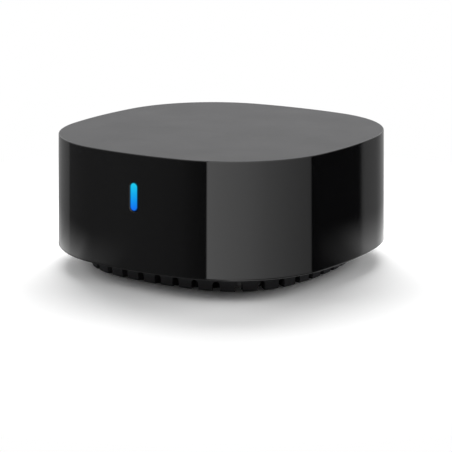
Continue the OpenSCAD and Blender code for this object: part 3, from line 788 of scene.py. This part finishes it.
def make_housing_shell():
    """The cup: a matte top, a polished drafted wall, a chamfered lower edge and its screw posts."""
    bm = bmesh.new()
    top_inset = wall_inset(TOP_Z)
    outer = [(top_inset + 0.9, TOP_Z), *rounded_edge(top_inset, TOP_Z, 0.2)]
    outer += [(wall_inset(z), z) for z in (30.25, 30.1, 29.0, 24.0, 18.0, 10.0, 6.0, 5.15, 4.98)]
    foot = [(0.0, 4.92), (0.012, 4.86), (0.372, RIM_Z), (0.42, RIM_Z), (0.5, RIM_Z), (1.85, RIM_Z)]
    inner = [(WALL_T, 4.6)] + [(WALL_T + wall_inset(z), z) for z in (4.8, 10.0, 20.0, 28.2)]
    ceiling = [(WALL_T + wall_inset(CEILING_Z) + 0.3, CEILING_Z), (WALL_T + 1.5, CEILING_Z)]
    carry_ring(bm, squircle(BODY), outer + foot + inner + ceiling)
    inset_of = bm.verts.layers.float["inset_of"]
    matte, inside = 1, 2
    for face in bm.faces:
        if all(vert.co.z > (TOP_Z - 0.001) * MM for vert in face.verts):
            face.material_index = matte
        elif sum(vert[inset_of] for vert in face.verts) / len(face.verts) > WALL_T - 0.1:
            face.material_index = inside
    walls = set(bm.faces)
    # From inside the ceiling down to the foot of a post, and up its bore
    post = [(0.0, 28.7), (0.0, 8.1), (0.1, 8.0), (1.78, 8.0), (1.88, 8.1), (1.88, 20.0)]
    for x in (-CORNER_AT, CORNER_AT):
        for y in (-CORNER_AT, CORNER_AT):
            carry_ring(bm, circle(x, y, POST_R, 40), post)
    for face in bm.faces:
        if face not in walls:
            face.material_index = inside
    materials = [shell_gloss, shell_matte, shell_inside]
    shell = new_piece("housing_shell", bm, materials, ("upper_housing",))

    gap = 0.08
    front = -(BODY[0] - wall_inset(WINDOW_Z))
    size = (WINDOW_W + 2 * gap, WINDOW_H + 2 * gap, WINDOW_W / 2 + gap)
    steps = [(-0.25, front - 0.25), (-0.1, front - 0.005), (0, front + 0.1), (0, front + 3.4)]
    cut_opening(shell, rounded_outline(0, WINDOW_Z, *size, 72, WALL_LEAN), steps)

    rear = BODY[0] - wall_inset(SOCKET_Z)
    opening = rounded_outline(0, SOCKET_Z, PLUG_W, PLUG_H, PLUG_R, 64, -WALL_LEAN)
    cut_opening(shell, opening, [(0, 30), (0, rear - 0.2), (-0.2, rear + 0.01), (-0.5, rear + 0.4)])

    rear = 34.17
    bore = rounded_outline(BUTTON_X, SOCKET_Z, BUTTON_BORE, BUTTON_BORE, BUTTON_BORE / 2, 48)
    cut_opening(shell, bore, [(0, 30), (0, rear - 0.35), (-0.16, rear - 0.1), (-0.5, rear + 0.4)])


def make_window():
    """The window: a pill that lies flush in the wall, with the hidden rim that holds it."""
    bm = bmesh.new()
    front = -(BODY[0] - wall_inset(WINDOW_Z))
    pill = rounded_outline(0, WINDOW_Z, WINDOW_W, WINDOW_H, WINDOW_W / 2, 72, WALL_LEAN)
    inside = front + WALL_T + 0.15
    steps = [(0.5, front + 0.012), (0.25, front + 0.014), (0.1, front + 0.03), (0.03, front + 0.06)]
    steps += [(0.0, front + 0.14), (0.0, inside - 0.02), (-0.66, inside), (-0.7, inside + 0.04)]
    steps += [(-0.7, inside + 0.76), (-0.66, inside + 0.8), (0.5, inside + 0.8)]
    carry_ring(bm, pill, steps)
    new_piece("window_lens", bm, [window_lens], ("status_window",))


def notch_cutters():
    """One arched bar for each notch, laid out from the middle like spokes."""
    bm = bmesh.new()
    for number in range(NOTCH_COUNT):
        middle = FOOT_LEVEL + NOTCH_H / 2 - 1.0
        arch = rounded_outline(0, middle, NOTCH_W, NOTCH_H + 2.0, NOTCH_W / 2 - 0.001, 48)
        before = set(bm.verts)
        carry_ring(bm, arch, [(0, -45), (0, -20.2)])
        spin(bm, added_since(bm, before), 2 * math.pi * (number + NOTCH_START) / NOTCH_COUNT)
    return bm


def make_notched_ring():
    """The base ring: its wall widens upwards and has a row of arched notches."""
    low, high = FOOT_LEVEL, RIM_Z

    def out(z):
        return -RING_FLARE * (z - low) / (high - low)

    bm = bmesh.new()
    steps = [(0.16, low), (0.05, low + 0.04), (out(0.36), 0.36), (out(0.6), 0.6), (out(2.6), 2.6)]
    steps += [(out(4.2), 4.2), (out(4.36), 4.4), (out(4.4) + 0.1, high), (2.25, high)]
    steps += [(RING_T, high - 0.15), (RING_T, 2.6), (RING_T, 0.35), (2.25, low)]
    close_loop(bm, squircle(RING), steps)
    lug = circle(LUG_AT, 0, LUG_R, 48)
    lug_steps = [(1.45, 2.5), (0.12, 2.5), (0, 2.62), (0, 3.58), (0.12, 3.7), (1.45, 3.7)]
    for quarter in range(4):
        before = set(bm.verts)
        carry_ring(bm, lug, lug_steps, close_ends=False)
        lug_verts = added_since(bm, before)
        rims = [e for e in bm.edges if e.is_boundary and all(v in lug_verts for v in e.verts)]
        bmesh.ops.bridge_loops(bm, edges=rims)
        block_in(bm, (3.6, 5.0, 1.16), (24.4, 0, 3.1))
        spin(bm, added_since(bm, before), quarter * math.pi / 2)
    ring = new_piece("notched_ring", bm, [ring_plastic], ("base_ring",))
    cut_out(ring, notch_cutters())


def make_foot(corner, x, y):
    """A rubber foot: a dished disc with a rounded rim."""
    bm = bmesh.new()
    steps = [(3.2, 0.12), (1.2, 0.08), (0.75, 0.0), (0.35, 0.0), (0.12, 0.06), (0.02, 0.2)]
    steps += [(0.0, 0.35), (0.0, 1.4), (0.1, 1.5), (3.2, 1.5)]
    carry_ring(bm, circle(x, y, FOOT_R, 72), steps)
    even_shading(new_piece(f"rubber_foot_{corner}", bm, [foot_rubber], (f"foot_{corner}",)))


def make_rating_plate():
    """The bare plate: thin film with a rounded rim and one pressed line near it."""
    bm = bmesh.new()
    low, pressed, high = PLATE_Z, PLATE_Z + 0.05, PLATE_Z + 0.25
    steps = [(9.0, low), (1.3, low), (1.22, pressed), (1.08, pressed), (1.0, low), (0.06, low)]
    steps += [(0.0, pressed), (0.0, high), (9.0, high)]
    carry_ring(bm, circle(0, 0, PLATE_R, 128), steps)
    even_shading(new_piece("bare_plate", bm, [plate_film], ("rating_plate",)))


def make_reset_button():
    """The button: a turned cap with a dished end, its flange and its stem."""
    bm = bmesh.new()
    end_y = 34.13
    cap = rounded_outline(BUTTON_X, SOCKET_Z, BUTTON_W, BUTTON_W, BUTTON_W / 2, 64)
    steps = [(1.2, end_y - 0.12), (0.75, end_y - 0.08), (0.42, end_y), (0.28, end_y), (0.12, end_y - 0.06)]
    steps += [(0.02, end_y - 0.18), (0.0, end_y - 0.32), (0.0, 31.3)]
    steps += [(-0.88, 31.28), (-0.9, 31.2), (-0.9, 30.6), (0.5, 30.58), (0.5, 28.5)]
    carry_ring(bm, cap, steps)
    new_piece("reset_cap", bm, [case_plastic], ("reset_button",), "button")


def make_contact_strips():
    """Gold contacts that lie in both faces of the socket's tongue."""
    bm = bmesh.new()
    count = 12
    pitch = 0.5
    for side in (-1, 1):
        for number in range(count):
            x = (number - (count - 1) / 2) * pitch
            block_in(bm, (0.24, 3.2, 0.04), (x, 27.6, SOCKET_Z + side * 0.355))
    rounded_edges(bm, 0.012, 60, 1)
    new_piece("socket_contacts", bm, [gold_plate])


make_housing_shell()
make_window()
make_notched_ring()
make_reset_button()
make_contact_strips()
softened_copy("case_underside", "lower_case", 0.1, case_plastic)
softened_copy("socket_sleeve", "usb_shell", 0.05, tin_plate)
for node in ("case_screws", "ring_screws", "board_screws"):
    softened_copy(f"{node}_turned", node, 0.06, screw_steel)
for end, y in (("front", -CORNER_AT), ("rear", CORNER_AT)):
    for side, x in (("left", -CORNER_AT), ("right", CORNER_AT)):
        make_foot(f"{end}_{side}", x, y)
make_rating_plate()

# Finishes of the nodes that keep their CAD shape
FINISHES = {
    "light_box": white_plastic,
    "indicator_board": green_board,
    "status_led_upper": diode_resin,
    "status_led_lower": diode_resin,
    "main_board": green_board,
    "radio_module": blue_board,
    "shield_can": tin_plate,
    "ir_led_top": infrared_resin,
    "ir_receiver": chip_resin,
    "usb_tongue": chip_resin,
    "reset_switch": tin_plate,
    "switch_plunger": chip_resin,
    "bulk_capacitor": can_aluminium,
    "power_inductor": ferrite,
    "regulator_chip": chip_resin,
    "driver_transistors": chip_resin,
    "chip_resistors": chip_resin,
    "chip_capacitors": ceramic,
}
for number in range(1, 8):
    FINISHES[f"ir_led_{number}"] = infrared_resin
for name, material in FINISHES.items():
    mesh = nodes[name].data
    if len(mesh.materials) == 0:
        mesh.materials.append(material)
    for slot in range(len(mesh.materials)):
        mesh.materials[slot] = material
